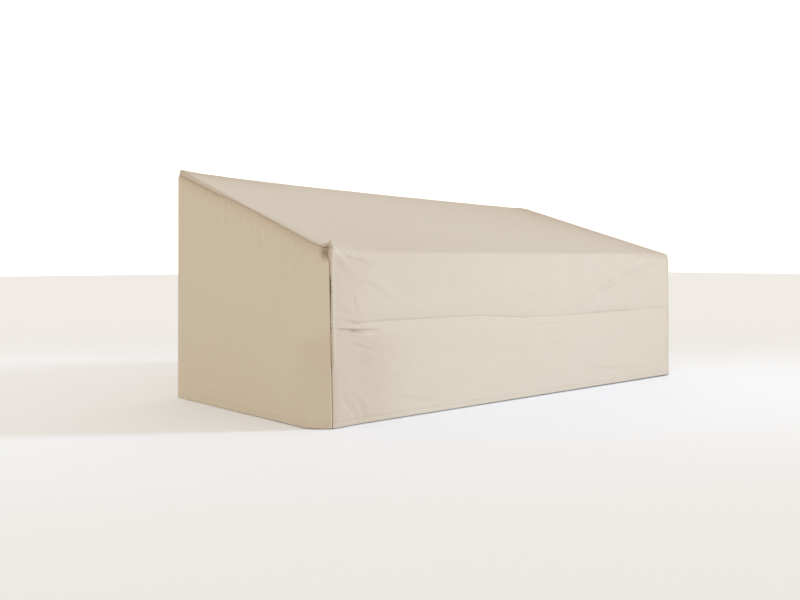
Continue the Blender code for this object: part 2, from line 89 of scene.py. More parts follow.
sweep = bmesh.new()
bmesh.ops.create_grid(sweep, x_segments=1, y_segments=1, size=FLOOR_HALF)
floor_mesh = bpy.data.meshes.new("Studio_floor")
sweep.to_mesh(floor_mesh)
sweep.free()
floor = bpy.data.objects.new("Studio_floor", floor_mesh)
bpy.context.scene.collection.objects.link(floor)
floor.location.z = FLOOR_LEVEL
floor_paint = bpy.data.materials.new("Matt_floor_paint")
floor_paint.use_nodes = True
paint = floor_paint.node_tree.nodes["Principled BSDF"]
paint.inputs["Base Color"].default_value = hex_colour(FLOOR_WHITE)
paint.inputs["Roughness"].default_value = 0.9
floor_mesh.materials.append(floor_paint)

room = bpy.data.worlds.new("White_room")
room.use_nodes = True
walls = room.node_tree.nodes["Background"]
walls.inputs["Color"].default_value = hex_colour(ROOM_WHITE)
direction = room.node_tree.nodes.new("ShaderNodeTexCoord")
height = room.node_tree.nodes.new("ShaderNodeSeparateXYZ")
dimming = room.node_tree.nodes.new("ShaderNodeMapRange")
dimming.inputs["From Min"].default_value = WALL_TOP
dimming.inputs["From Max"].default_value = CEILING
dimming.inputs["To Min"].default_value = WALL_STRENGTH
dimming.inputs["To Max"].default_value = CEILING_STRENGTH
room.node_tree.links.new(direction.outputs["Generated"], height.inputs["Vector"])
room.node_tree.links.new(height.outputs["Z"], dimming.inputs["Value"])
room.node_tree.links.new(dimming.outputs["Result"], walls.inputs["Strength"])
bpy.context.scene.world = room
bpy.context.scene.view_settings.view_transform = "Standard"

SOFT_BOX_PLACE = (9.0, -7.5, 4.4)
SOFT_BOX_SIZE = 2.6
SOFT_BOX_SPREAD = 15  # degrees
SOFT_BOX_WATTS = 18.4
SOFT_BOX_WHITE = "#CFE7FF"
LIT_POINT = (0.30, -0.50, 0.68)

soft_box = bpy.data.lights.new("Soft_box", "AREA")
soft_box.size = SOFT_BOX_SIZE
soft_box.spread = radians(SOFT_BOX_SPREAD)
soft_box.energy = SOFT_BOX_WATTS
soft_box.color = hex_colour(SOFT_BOX_WHITE)[:3]
lamp = bpy.data.objects.new("Soft_box", soft_box)
lamp.location = SOFT_BOX_PLACE
to_cover = Vector(LIT_POINT) - Vector(SOFT_BOX_PLACE)
lamp.rotation_euler = to_cover.to_track_quat("-Z", "Y").to_euler()
bpy.context.scene.collection.objects.link(lamp)


# ---------------------------------------------------------------- top and front
# One length of coated woven polyester: it starts just over the ridge, runs down the slope, rolls
# over the soft front edge with no seam and falls to the front hem. Its side edges are sewn to the
# two ends, its back edge to the back, and its hem is turned up inside.

WIDTH = 2.180
DEPTH = 1.110
BACK_HEIGHT = 1.010
FRONT_HEIGHT = 0.635

CLOTH = 0.0010  # drawn at the thickness of the cloth with its coating and nap
ALLOWANCE = 0.011  # how far a seam edge is turned in
SEAM_HALF = 0.0007  # from the seam's line to the middle of each turned-in edge
SEAM_SINK = 0.0052  # how deep a seam lies under the cloth beside it
SEAM_ROLL = 0.016  # how far from the seam the cloth starts to roll into it
UPRIGHT_ROLL = 0.0048  # the same at an upright seam
SLACK_ROLL = 0.032  # the same at the foot of the front left seam, where the front hangs slack
SLACK_TOP, SLACK_HEIGHT = 0.265, 0.085  # where the slack starts, and how much lower it is full
HEM_TURN = 0.022
HEM_FOLD = 0.0030

LEFT, RIGHT = -1, 1
FRONT, BACK = -1, 1

# The upright corners: plan radius at the top and at the hem, and how far round the end cloth goes
# before its seam, in degrees. At a pinched corner it runs straight on from half way round, so that
# the seam stands out as a soft ridge.
Corner = namedtuple("Corner", "top_radius hem_radius wrap pinched")
CORNERS = {
    (LEFT, FRONT): Corner(0.071, 0.090, 75.5, True),
    (RIGHT, FRONT): Corner(0.026, 0.030, 73, False),
    (LEFT, BACK): Corner(0.020, 0.022, 80, False),
    (RIGHT, BACK): Corner(0.080, 0.080, 80, False),
}
HALF_WAY = pi / 4
PINCH_FADE = 0.150  # how far from the seam the front is back in its plane
PINCH_RUN = 1.2  # how many radii past its arc's centre a pinched corner runs
LEAN = {LEFT: 0.002, RIGHT: 0.006}  # how far in a side leans, up to the front edge's height

# The two long edges of the top: how far each has sunk below its sewn height, and the reach and
# drop of the roll over it. The ridge sinks towards the right, and the front left corner is
# bunched up.
Edge = namedtuple("Edge", "x sink reach drop")
RIDGE = (
    Edge(-1.090, -0.0035, 0.016, 0.026),
    Edge(-0.990, 0.0080, 0.016, 0.026),
    Edge(-0.740, 0.0235, 0.018, 0.026),
    Edge(-0.470, 0.0350, 0.020, 0.026),
    Edge(-0.170, 0.0460, 0.022, 0.027),
    Edge(0.155, 0.0570, 0.024, 0.028),
    Edge(0.520, 0.0680, 0.028, 0.030),
    Edge(0.900, 0.0750, 0.060, 0.038),
    Edge(1.090, 0.0750, 0.080, 0.045),
)
FRONT_EDGE = (
    Edge(-1.090, -0.029, 0.060, 0.010),
    Edge(-1.035, -0.027, 0.060, 0.013),
    Edge(-1.000, -0.021, 0.060, 0.024),
    Edge(-0.900, -0.009, 0.046, 0.028),
    Edge(-0.780, -0.002, 0.026, 0.019),
    Edge(-0.600, -0.002, 0.018, 0.014),
    Edge(0.850, -0.002, 0.018, 0.014),
    Edge(1.090, 0.003, 0.024, 0.020),
)
# The reach of the roll over the side edges, and its drop on each side from the front to the back.
SIDE_REACH = 0.018
SideDrop = namedtuple("SideDrop", "y left right")
SIDE_DROP = (
    SideDrop(-0.555, 0.006, 0.014),
    SideDrop(-0.080, 0.006, 0.021),
    SideDrop(0.045, 0.009, 0.023),
    SideDrop(0.200, 0.019, 0.025),
    SideDrop(0.330, 0.023, 0.027),
    SideDrop(0.555, 0.027, 0.030),
)
TOP_SAG = 0.008  # in the middle of the slope
# How high the hem hangs at each corner.
HEM = {(LEFT, FRONT): 0.0034, (RIGHT, FRONT): 0.0062, (LEFT, BACK): 0.0016, (RIGHT, BACK): 0.0030}

# The packing crease across the front: a broad trough with a sharp line in it. On the left it
# splits: a strong fold leaves the seam and dies out below the line.
Crease = namedtuple("Crease", "x height broad sharp")
CREASE = (
    Crease(-1.090, 0.372, 0.0010, 0.0006),
    Crease(-0.967, 0.373, 0.0020, 0.0016),
    Crease(-0.880, 0.376, 0.0034, 0.0036),
    Crease(-0.818, 0.377, 0.0040, 0.0048),
    Crease(-0.700, 0.377, 0.0040, 0.0052),
    Crease(-0.500, 0.376, 0.0034, 0.0040),
    Crease(-0.291, 0.374, 0.0032, 0.0034),
    Crease(-0.052, 0.356, 0.0046, 0.0040),
    Crease(0.200, 0.350, 0.0034, 0.0022),
    Crease(0.403, 0.352, 0.0056, 0.0040),
    Crease(0.553, 0.354, 0.0070, 0.0062),
    Crease(0.671, 0.355, 0.0064, 0.0056),
    Crease(0.800, 0.356, 0.0036, 0.0022),
    Crease(1.018, 0.356, 0.0028, 0.0026),
    Crease(1.090, 0.356, 0.0014, 0.0010),
)
BROAD_HALF, SHARP_HALF = 0.026, 0.0042

# Soft folds in the front: a line from one point to another, its half width, and how far it stands
# out, or in where that is negative.
Fold = namedtuple("Fold", "x1 z1 x2 z2 half_width rise")
FRONT_FOLDS = (
    # The strong fold at the left end of the crease, and what echoes it below.
    Fold(-1.070, 0.369, -0.990, 0.355, 0.0044, -0.0040),
    Fold(-1.000, 0.356, -0.905, 0.346, 0.0058, -0.0100),
    Fold(-0.950, 0.347, -0.830, 0.345, 0.0056, -0.0084),
    Fold(-1.010, 0.352, -0.860, 0.330, 0.0150, 0.0040),
    Fold(-0.985, 0.392, -0.900, 0.370, 0.0060, -0.0040),
    Fold(-1.020, 0.405, -0.950, 0.385, 0.0080, 0.0022),
    Fold(-0.990, 0.318, -0.870, 0.292, 0.0070, 0.0022),
    Fold(-0.965, 0.310, -0.830, 0.262, 0.0070, -0.0030),
    Fold(-0.950, 0.292, -0.850, 0.255, 0.0080, 0.0022),
    Fold(-0.930, 0.238, -0.840, 0.206, 0.0090, -0.0018),
    # From the bunched-up corner down to the right.
    Fold(-1.020, 0.655, -0.940, 0.610, 0.0080, -0.0050),
    Fold(-0.960, 0.628, -0.860, 0.588, 0.0100, -0.0030),
    Fold(-1.000, 0.620, -0.900, 0.540, 0.0130, 0.0024),
    Fold(-1.005, 0.590, -0.930, 0.500, 0.0120, -0.0018),
    Fold(-0.960, 0.545, -0.900, 0.430, 0.0110, 0.0018),
    Fold(-0.935, 0.520, -0.925, 0.420, 0.0070, -0.0014),
    Fold(-0.900, 0.560, -0.780, 0.500, 0.0120, 0.0016),
    Fold(-0.870, 0.520, -0.760, 0.455, 0.0100, -0.0013),
    Fold(-1.005, 0.460, -0.940, 0.425, 0.0080, 0.0020),
    # Near the hem on the left.
    Fold(-0.990, 0.120, -0.915, 0.020, 0.0120, -0.0024),
    Fold(-0.960, 0.160, -0.860, 0.060, 0.0140, 0.0018),
    Fold(-0.905, 0.090, -0.880, 0.010, 0.0110, -0.0016),
    Fold(-0.830, 0.200, -0.720, 0.185, 0.0090, 0.0014),
    Fold(-0.720, 0.100, -0.560, 0.070, 0.0110, 0.0020),
    Fold(-0.700, 0.075, -0.560, 0.045, 0.0090, -0.0020),
    # The pull from the right end of the front edge down to the crease.
    Fold(0.800, 0.585, 0.560, 0.480, 0.0130, 0.0075),
    Fold(0.620, 0.520, 0.380, 0.400, 0.0150, 0.0066),
    Fold(0.860, 0.575, 0.520, 0.440, 0.0180, -0.0058),
    Fold(0.930, 0.560, 0.680, 0.400, 0.0170, 0.0032),
    Fold(0.960, 0.500, 0.780, 0.380, 0.0150, -0.0026),
    # A second faint line under the crease.
    Fold(0.030, 0.314, 0.300, 0.320, 0.0050, -0.0022),
    Fold(0.300, 0.322, 0.560, 0.345, 0.0050, -0.0020),
    # Ripples over the hem.
    Fold(0.440, 0.110, 0.640, 0.090, 0.0090, 0.0024),
    Fold(0.500, 0.085, 0.700, 0.065, 0.0090, -0.0024),
    Fold(0.640, 0.120, 0.900, 0.070, 0.0150, 0.0020),
    # Long faint ones in the middle.
    Fold(-0.650, 0.470, -0.250, 0.500, 0.0200, -0.0016),
    Fold(-0.300, 0.440, 0.150, 0.480, 0.0220, 0.0018),
    Fold(-0.500, 0.230, -0.100, 0.200, 0.0220, -0.0016),
    Fold(-0.050, 0.250, 0.400, 0.230, 0.0240, 0.0016),
)
# Broad swells of the hanging cloth: where, how wide and high, and how far out.
Swell = namedtuple("Swell", "along height half_length half_height rise")
FRONT_SWELLS = (
    Swell(-0.550, 0.200, 0.350, 0.150, 0.004),
    Swell(0.350, 0.170, 0.450, 0.140, 0.005),
    Swell(-0.100, 0.500, 0.500, 0.090, 0.003),
)
# The tuck at the front left corner: the end is drawn into a hollow beside a bunched-up lip, and
# where the seams meet the cloth stands up in a small ear.
Lump = namedtuple("Lump", "past_seam y z radius rise")
HOLLOW = Lump(-0.007, -0.557, 0.633, 0.020, -0.036)
BUNCH = Lump(0.013, -0.560, 0.646, 0.024, 0.006)
EAR = Lump(0.007, -0.562, 0.656, 0.013, 0.021)

# The upright seam at the front left gapes in places: half the gap at each height.
Gape = namedtuple("Gape", "z half")
LEFT_GAPE = (
    Gape(0.000, 0.0012),
    Gape(0.060, 0.0017),
    Gape(0.110, 0.0025),
    Gape(0.160, 0.0034),
    Gape(0.215, 0.0026),
    Gape(0.245, 0.0007),
    Gape(0.345, 0.0005),
    Gape(0.364, 0.0020),
    Gape(0.380, 0.0005),
    Gape(0.425, 0.0010),
    Gape(0.470, 0.0020),
    Gape(0.505, 0.0034),
    Gape(0.535, 0.0034),
    Gape(0.560, 0.0006),
    Gape(0.640, 0.0006),
)

# Small crumples that the cloth keeps from its packing, and finer ones in them: how much smaller
# and how much lower.
CRUMPLE_SIZE, CRUMPLE_RISE = 0.110, 0.0011
FINER, LOWER = 2.7, 0.35
TOP_CRUMPLES, FRONT_CRUMPLES, END_CRUMPLES, BACK_CRUMPLES = 11, 3, 23, 37  # each its own
CRUMPLE_START = 0.050  # how far from a side seam the top's crumples have their full height
FOLD_START = 0.008  # the same for the folds of the front
FOLD_REACH = 3  # half widths past which a fold has no height
FOLD_RISES, FOLD_DIES = 0.4, 0.6  # the shares of its length over which a fold starts and ends
STILL_HEM = 0.040  # how far over the hem the folds have their full height

# Shade painted into the cloth's colour: along its side seams, along the ridge, most of all at the
# left, at its right edge, low on the left, and on the front near the bunched corner.
TOP_SEAM_PAINTED_SHADE = (0.008, 0.034)  # how far from its side seams, at the back and at the front
WIDER_FROM, WIDER_FADE = 0.10, 0.45
RIDGE_PAINTED_SHADE, RIDGE_PAINTED_SHADE_REACH = 0.45, 0.260
RIGHT_PAINTED_SHADE_REACH = 0.420
LEFT_BACK_PAINTED_SHADE = -0.450  # left of this, the painted shade of the ridge grows
PAINTED_SHADE_FADE = 0.300
# painted shade low on the left of the front: how dark, where it fades out to the right, and where
# it fades out upward
LOW_PAINTED_SHADE, LOW_PAINTED_SHADE_RIGHT = 0.55, -0.620
LOW_PAINTED_SHADE_TOP, LOW_PAINTED_SHADE_FADE_UP = 0.365, 0.070
# painted shade on the front beside its left seam: how dark, where it fades out to the right, and
# how softly
CORNER_PAINTED_SHADE, CORNER_PAINTED_SHADE_RIGHT, CORNER_PAINTED_SHADE_FADE = 0.40, -0.820, 0.140

# Knots of the cloth, closer together where it bends.
NEAR_SEAM = (0.0, 0.0016, 0.0036, 0.0062, 0.0094, 0.0130, 0.0180, 0.0250, 0.0340, 0.0440)
LEFT_ZONE = -0.640
LEFT_COLUMNS, RIGHT_COLUMNS = 84, 136
RIDGE_TURNS = (0, 12, 24, 36, 48, 60, 75, 90)
FRONT_TURNS = (90, 83, 76, 70, 64, 58, 53, 48, 43, 38, 33, 27, 22, 16, 11, 5, 0)
TOP_ROWS = 36
ABOVE_CREASE, IN_CREASE, BELOW_CREASE = 46, 21, 50
CREASE_ABOVE, CREASE_BELOW = 0.018, 0.044  # the zone of close rows
HEM_TURNS = (0, 60, 120, 180)
HEM_ROWS = 3
STEEPNESS_STEP = 0.004


def blend(start, end, part):
    """The value that lies a part of the way from start to end."""
    return start + (end - start) * part


def ease(part):
    """A part from 0 to 1, eased at both ends."""
    part = min(max(part, 0.0), 1.0)
    return part * part * (3 - 2 * part)


def read(table, place, column):
    """One column of a table whose rows are sorted by their first one, read between its rows."""
    for low, high in zip(table, table[1:]):
        if place <= high[0]:
            break
    part = min(max((place - low[0]) / (high[0] - low[0]), 0.0), 1.0)
    return blend(getattr(low, column), getattr(high, column), part)


def sign(value):
    return 1 if value > 0 else -1


def half_width(side, z):
    return WIDTH / 2 - LEAN[side] * min(z / FRONT_HEIGHT, 1.0)


def corner_radius(side, end, z):
    corner = CORNERS[side, end]
    return blend(corner.hem_radius, corner.top_radius, min(z / FRONT_HEIGHT, 1.0))


def corner_centre(side, end, z):
    """The centre of a corner's arc, as distances from the middle of the cover."""
    radius = corner_radius(side, end, z)
    return half_width(side, z) - radius, DEPTH / 2 - radius


def corner_stretch(side, end, turn):
    """How much further out than its arc a corner is, a turn round it."""
    if CORNERS[side, end].pinched:
        return 1 / cos(max(turn - HALF_WAY, 0.0))
    return 1.0


def corner_point(side, end, turn, z):
    """The outline a turn round one of its corners, from the side towards the front or back."""
    centre_x, centre_y = corner_centre(side, end, z)
    reach = corner_radius(side, end, z) * corner_stretch(side, end, turn)
    return Vector((side * (centre_x + reach * cos(turn)), end * (centre_y + reach * sin(turn)), z))


def seam_point(side, end, z):
    return corner_point(side, end, radians(CORNERS[side, end].wrap), z)


def corner_turn(side, end, past, radius):
    """How far round a corner its outline is at a distance past the centre, towards the end."""
    if CORNERS[side, end].pinched and past > radius * sin(HALF_WAY):
        return atan2(past, radius / cos(HALF_WAY) - past)
    return asin(min(past / radius, 1.0))


def side_x(side, y, z):
    """Where the outline's left or right side is at y: drawn in round the corners."""
    end = sign(y)
    radius = corner_radius(side, end, z)
    centre_x, centre_y = corner_centre(side, end, z)
    turn = corner_turn(side, end, min(max(abs(y) - centre_y, 0.0), radius * PINCH_RUN), radius)
    return side * (centre_x + radius * corner_stretch(side, end, turn) * cos(turn))


def wall_y(end, x, z):
    """Where the front or the back is at x, as if its corners were square."""
    side = sign(x)
    if not CORNERS[side, end].pinched:
        return end * DEPTH / 2
    seam = seam_point(side, end, z)
    proud = abs(seam.y) - DEPTH / 2
    return end * (DEPTH / 2 + proud * (1 - ease((abs(seam.x) - abs(x)) / PINCH_FADE)))


def end_y(end, x, z):
    """Where the outline's front or back is at x: drawn in round the corners."""
    side = sign(x)
    centre_x, centre_y = corner_centre(side, end, z)
    radius = corner_radius(side, end, z)
    past = min(max(abs(x) - centre_x, 0.0), radius)
    if CORNERS[side, end].pinched and past < radius * cos(HALF_WAY):
        return end * min(abs(wall_y(end, x, z)), centre_y + radius / cos(HALF_WAY) - past)
    return end * (centre_y + sqrt(radius**2 - past**2))


def outward(x, y, z):
    """The direction straight out of the outline near x, y."""
    centre_x, centre_y = corner_centre(sign(x), sign(y), z)
    past_x, past_y = abs(x) - centre_x, abs(y) - centre_y
    if past_x > 0 and past_y > 0:
        return Vector((sign(x) * past_x, sign(y) * past_y, 0)).normalized()
    if past_x > past_y:
        return Vector((sign(x), 0, 0))
    return Vector((0, sign(y), 0))


def seam_outward(side, end):
    """The direction straight out of the outline at an upright seam."""
    wrap = radians(CORNERS[side, end].wrap)
    return Vector((side * cos(wrap), end * sin(wrap), 0))


def hem_height(x, y):
    part_x, part_y = x / WIDTH + 0.5, y / DEPTH + 0.5
    front = blend(HEM[LEFT, FRONT], HEM[RIGHT, FRONT], part_x)
    back = blend(HEM[LEFT, BACK], HEM[RIGHT, BACK], part_x)
    return blend(front, back, part_y)


def seam_half(side, end, z):
    """Half the width of an upright seam."""
    return read(LEFT_GAPE, z, "half") if (side, end) == (LEFT, FRONT) else SEAM_HALF


def taut(side, z):
    """From 0 at the slack foot of the front left seam to 1 above it and at the other seams."""
    return ease(1 - (SLACK_TOP - z) / SLACK_HEIGHT) if side == LEFT else 1.0


def seam_sink(from_seam, roll):
    """How deep the cloth lies near a seam, where it rolls into it."""
    near = min(max(1 - from_seam / roll, 0.0), 1.0)
    return SEAM_SINK * near**2


def top_height(x, y):
    """The slope from the front edge to the ridge, before its edges roll over."""
    part = y / DEPTH + 0.5
    across = 1 - (2 * x / WIDTH) ** 2
    sag = TOP_SAG * sin(pi * min(max(part, 0.0), 1.0)) * max(across, 0.0)
    front, ridge = FRONT_HEIGHT - read(FRONT_EDGE, x, "sink"), BACK_HEIGHT - read(RIDGE, x, "sink")
    return blend(front, ridge, part) - sag


def roll_drop(inside, reach, drop):
    """How far the cloth has sunk where it rolls over an edge, a distance inside the outline."""
    near = min(max(1 - inside / reach, 0.0), 1.0)
    return drop * (1 - sqrt(1 - near**2))


def edge_drop(x, y):
    """How far the top has sunk near its edges."""
    side, end = sign(x), sign(y)
    centre_x, centre_y = corner_centre(side, end, FRONT_HEIGHT)
    edge = RIDGE if end == BACK else FRONT_EDGE
    end_reach, end_drop = read(edge, x, "reach"), read(edge, x, "drop")
    side_drop = read(SIDE_DROP, y, "left" if side == LEFT else "right")
    past_x, past_y = abs(x) - centre_x, abs(y) - centre_y
    wall = abs(wall_y(end, x, FRONT_HEIGHT))
    if past_x > 0 and past_y > 0:
        turn = atan2(past_y, past_x)
        rim = corner_radius(side, end, FRONT_HEIGHT) * corner_stretch(side, end, turn)
        if CORNERS[side, end].pinched and turn > radians(CORNERS[side, end].wrap):
            rim = (wall - centre_y) / sin(turn)
        reach = blend(SIDE_REACH, end_reach, turn / (pi / 2))
        drop = blend(side_drop, end_drop, ease(turn / (pi / 2)))
        return roll_drop(rim - hypot(past_x, past_y), reach, drop)
    over_side = roll_drop(half_width(side, FRONT_HEIGHT) - abs(x), SIDE_REACH, side_drop)
    return over_side + roll_drop(wall - abs(y), end_reach, end_drop)


def top_point(x, y):
    return Vector((x, y, top_height(x, y) - edge_drop(x, y)))


SLOPE_START = len(RIDGE_TURNS) - 1
SLOPE_END = SLOPE_START + TOP_ROWS + 1
TOP_KNOTS = SLOPE_END + len(FRONT_TURNS)


def top_y(row, x):
    """The y of a row of knots on the top, from 0 at the ridge to the last at the front edge."""
    back = wall_y(BACK, x, FRONT_HEIGHT) - read(RIDGE, x, "reach")
    front = wall_y(FRONT, x, FRONT_HEIGHT) + read(FRONT_EDGE, x, "reach")
    if row <= SLOPE_START:
        y = back + read(RIDGE, x, "reach") * cos(radians(RIDGE_TURNS[row]))
        return min(y, end_y(BACK, x, FRONT_HEIGHT))
    if row >= SLOPE_END:
        y = front - read(FRONT_EDGE, x, "reach") * cos(radians(FRONT_TURNS[row - SLOPE_END]))
        return max(y, end_y(FRONT, x, FRONT_HEIGHT))
    return blend(back, front, (row - SLOPE_START) / (SLOPE_END - SLOPE_START))


def side_y(side, row):
    """The y at which a row of the top meets the seam of an end: evenly round the corners."""
    if SLOPE_START < row < SLOPE_END:
        straight = [end * corner_centre(side, end, FRONT_HEIGHT)[1] for end in (BACK, FRONT)]
        return blend(*straight, (row - SLOPE_START) / (SLOPE_END - SLOPE_START))
    end = BACK if row <= SLOPE_START else FRONT
    part = 1 - row / SLOPE_START if end == BACK else (row - SLOPE_END) / (len(FRONT_TURNS) - 1)
    return corner_point(side, end, radians(CORNERS[side, end].wrap) * part, FRONT_HEIGHT).y


def seam_height(side, y):
    """The height of the seam between the top and an end at y."""
    return top_point(side_x(side, y, FRONT_HEIGHT), y).z


def seam_lift(side, y):
    """Half a seam measured upright, which is more where the seam is steep."""
    ends = []
    for beside in (y - STEEPNESS_STEP, y + STEEPNESS_STEP):
        ends.append(Vector((side_x(side, beside, FRONT_HEIGHT), beside, seam_height(side, beside))))
    climb = ends[1] - ends[0]
    return SEAM_HALF * hypot(1.0, climb.z / climb.xy.length)


def swell_rise(swells, along, height):
    """How far the broad swells push the cloth out."""
    rise = 0.0
    for swell in swells:
        away_along = (along - swell.along) / swell.half_length
        away_up = (height - swell.height) / swell.half_height
        rise += swell.rise * exp(-(away_along**2) - away_up**2)
    return rise


def fold_rise(fold, x, z):
    """How far one soft fold pushes the cloth out, tapering to nothing past its ends."""
    along_x, along_z = fold.x2 - fold.x1, fold.z2 - fold.z1
    length = hypot(along_x, along_z)
    across = ((x - fold.x1) * along_z - (z - fold.z1) * along_x) / length
    if abs(across) > FOLD_REACH * fold.half_width:
        return 0.0
    part = ((x - fold.x1) * along_x + (z - fold.z1) * along_z) / length**2
    taper = ease(part / FOLD_RISES + 0.5) * ease((1 - part) / FOLD_DIES + 0.5)
    return fold.rise * taper * exp(-((across / fold.half_width) ** 2))


def crumple(place, seed):
    """Uneven ground of a cloth that has lain folded, out or in."""
    spot = Vector(place) / CRUMPLE_SIZE + Vector((seed, 0, 0))
    return CRUMPLE_RISE * (noise.noise(spot) + LOWER * noise.noise(spot * FINER))


def lump_rise(lump, point):
    """How far a lump of the front left corner pushes the cloth out, or in where negative."""
    centre = Vector((seam_point(LEFT, FRONT, lump.z).x + lump.past_seam, lump.y, lump.z))
    return lump.rise * exp(-(((point - centre).length / lump.radius) ** 2))


# The turned-in edges puff the front up in a narrow welt along the upright seams, uneven with small
# ripples: how far out, the distance of its crest from the seam, its half width and the ripples.
Welt = namedtuple("Welt", "rise crest half_width ripple pitch")
WELTS = {
    LEFT: Welt(0.0064, 0.0060, 0.0058, 0.45, 0.017),
    RIGHT: Welt(0.0024, 0.0060, 0.0058, 0.3, 0.021),
}
WELT_WANDER, WELT_PACE = 2.2, 31  # how unevenly its ripples follow each other


def welt_rise(side, from_seam, z):
    """How far the welt beside an upright seam stands out."""
    welt = WELTS[side]
    wave = sin(2 * pi * z / welt.pitch + WELT_WANDER * sin(z * WELT_PACE))
    crest = welt.rise * (1 + welt.ripple * wave) * taut(side, z)
    return crest * exp(-(((from_seam - welt.crest) / welt.half_width) ** 2))


def front_rise(x, z):
    """How far the front stands out of its plane."""
    rise = swell_rise(FRONT_SWELLS, x, z) + sum(fold_rise(fold, x, z) for fold in FRONT_FOLDS)
    from_crease = z - read(CREASE, x, "height")
    rise -= read(CREASE, x, "broad") * exp(-((from_crease / BROAD_HALF) ** 2))
    rise -= read(CREASE, x, "sharp") * exp(-((from_crease / SHARP_HALF) ** 2))
    rise += crumple((x, 0, z), FRONT_CRUMPLES)
    welts = 0.0
    for side in (LEFT, RIGHT):
        from_seam = abs(seam_point(side, FRONT, z).x - x)
        rise *= ease(from_seam / FOLD_START)
        welts += welt_rise(side, from_seam, z)
    return rise * ease(z / STILL_HEM) + welts


SPAN_COLUMNS = 2 * len(NEAR_SEAM) + LEFT_COLUMNS + RIGHT_COLUMNS


def span_x(column, left, right):
    """The x of a column of knots that runs across the cover between two seams."""
    from_left = min(max(column - 1, 0), SPAN_COLUMNS - 2)
    from_right = SPAN_COLUMNS - 2 - from_left
    near = len(NEAR_SEAM)
    if from_left < near:
        return left + NEAR_SEAM[from_left]
    if from_right < near:
        return right - NEAR_SEAM[from_right]
    step = from_left - near + 1
    if step <= LEFT_COLUMNS:
        return blend(left + NEAR_SEAM[-1], LEFT_ZONE, step / LEFT_COLUMNS)
    return blend(LEFT_ZONE, right - NEAR_SEAM[-1], (step - LEFT_COLUMNS) / RIGHT_COLUMNS)


def span_from_seam(column):
    """How far a column is from the nearer seam, as far as the close columns go."""
    from_end = min(max(column - 1, 0), SPAN_COLUMNS - 1 - column)
    return NEAR_SEAM[min(max(from_end, 0), len(NEAR_SEAM) - 1)]


def crease_z(row, x):
    """The height of a row of the front: 0 is the front edge, and the rows follow the crease."""
    crease = read(CREASE, x, "height")
    above, below = crease + CREASE_ABOVE, crease - CREASE_BELOW
    if row < ABOVE_CREASE:
        top = top_point(x, end_y(FRONT, x, FRONT_HEIGHT)).z
        return blend(top, above, row / ABOVE_CREASE)
    if row <= ABOVE_CREASE + IN_CREASE:
        return blend(above, below, (row - ABOVE_CREASE) / IN_CREASE)
    hem = hem_height(x, -DEPTH / 2) + HEM_FOLD / 2
    return blend(below, hem, min((row - ABOVE_CREASE - IN_CREASE) / BELOW_CREASE, 1.0))


def hem_knot(point, direction, step):
    """A knot of the hem: round its bottom, then up inside."""
    turns = len(HEM_TURNS) - 1
    if step <= turns:
        turn = radians(HEM_TURNS[step])
        inside, lift = HEM_FOLD / 2 * (1 - cos(turn)), HEM_FOLD / 2 * (1 - sin(turn))
    else:
        inside, lift = HEM_FOLD, blend(HEM_FOLD / 2, HEM_TURN, (step - turns) / HEM_ROWS)
    return point - direction * inside + Vector((0, 0, lift))


def sewn_cloth(name, columns, rows, hem_row, place, cut, shade_to_paint=None):
    """A sheet of cloth: a grid whose knots are put in place, without the squares cut away.

    Its UV map holds each knot's place on the flat cloth, in metres from the fold of the hem, and
    its attribute how much shade is painted into the cloth's colour there, from 0 to 1.
    """
    grid = bmesh.new()
    painted_shade = grid.verts.layers.float.new("Painted_shade_amount")
    bmesh.ops.create_grid(grid, x_segments=columns, y_segments=rows, size=0.5)
    knots = {}
    for knot in grid.verts:
        knots[knot] = (round((knot.co.x + 0.5) * columns), round((0.5 - knot.co.y) * rows))
    waste = []
    for square in grid.faces:
        corner = [min(knots[knot][i] for knot in square.verts) for i in (0, 1)]
        if cut(*corner):
            waste.append(square)
    for knot, (column, row) in knots.items():
        spot = place(column, row)
        knot.co = spot
        knot[painted_shade] = shade_to_paint(column, row, spot) if shade_to_paint else 0.0
    flat_x, flat_y = [0.0], [0.0]
    for column in range(columns):
        step = place(column + 1, rows // 2) - place(column, rows // 2)
        flat_x.append(flat_x[-1] + step.length)
    for row in range(rows):
        step = place(columns // 2, row + 1) - place(columns // 2, row)
        flat_y.append(flat_y[-1] + step.length)
    flat = grid.loops.layers.uv.new("Flat")
    for square in grid.faces:
        for loop in square.loops:
            column, row = knots[loop.vert]
            loop[flat].uv = (flat_x[column], flat_y[hem_row] - flat_y[row])
    bmesh.ops.delete(grid, geom=waste, context="FACES")
    bmesh.ops.recalc_face_normals(grid, faces=grid.faces)
    mesh = bpy.data.meshes.new(name)
    grid.to_mesh(mesh)
    grid.free()
    mesh.shade_smooth()
    cloth = bpy.data.objects.new(name, mesh)
    bpy.context.scene.collection.objects.link(cloth)
    thickness = cloth.modifiers.new("Thickness", "SOLIDIFY")
    thickness.thickness = CLOTH
    thickness.offset = 0
    thickness.use_even_offset = False
    return cloth


def add_node(material, kind, settings=None, links=None):
    """A node with its settings and its input links, in a material."""
    node = material.node_tree.nodes.new(kind)
    for key, value in (settings or {}).items():
        if key in node.inputs:
            node.inputs[key].default_value = value
        else:
            setattr(node, key, value)
    for key, output in (links or {}).items():
        material.node_tree.links.new(output, node.inputs[key])
    return node


def maths(material, operation, *values):
    """The output of a maths node whose inputs are numbers or other outputs."""
    node = add_node(material, "ShaderNodeMath", {"operation": operation})
    for socket, value in zip(node.inputs, values):
        if isinstance(value, bpy.types.NodeSocket):
            material.node_tree.links.new(value, socket)
        else:
            socket.default_value = value
    return node.outputs["Value"]


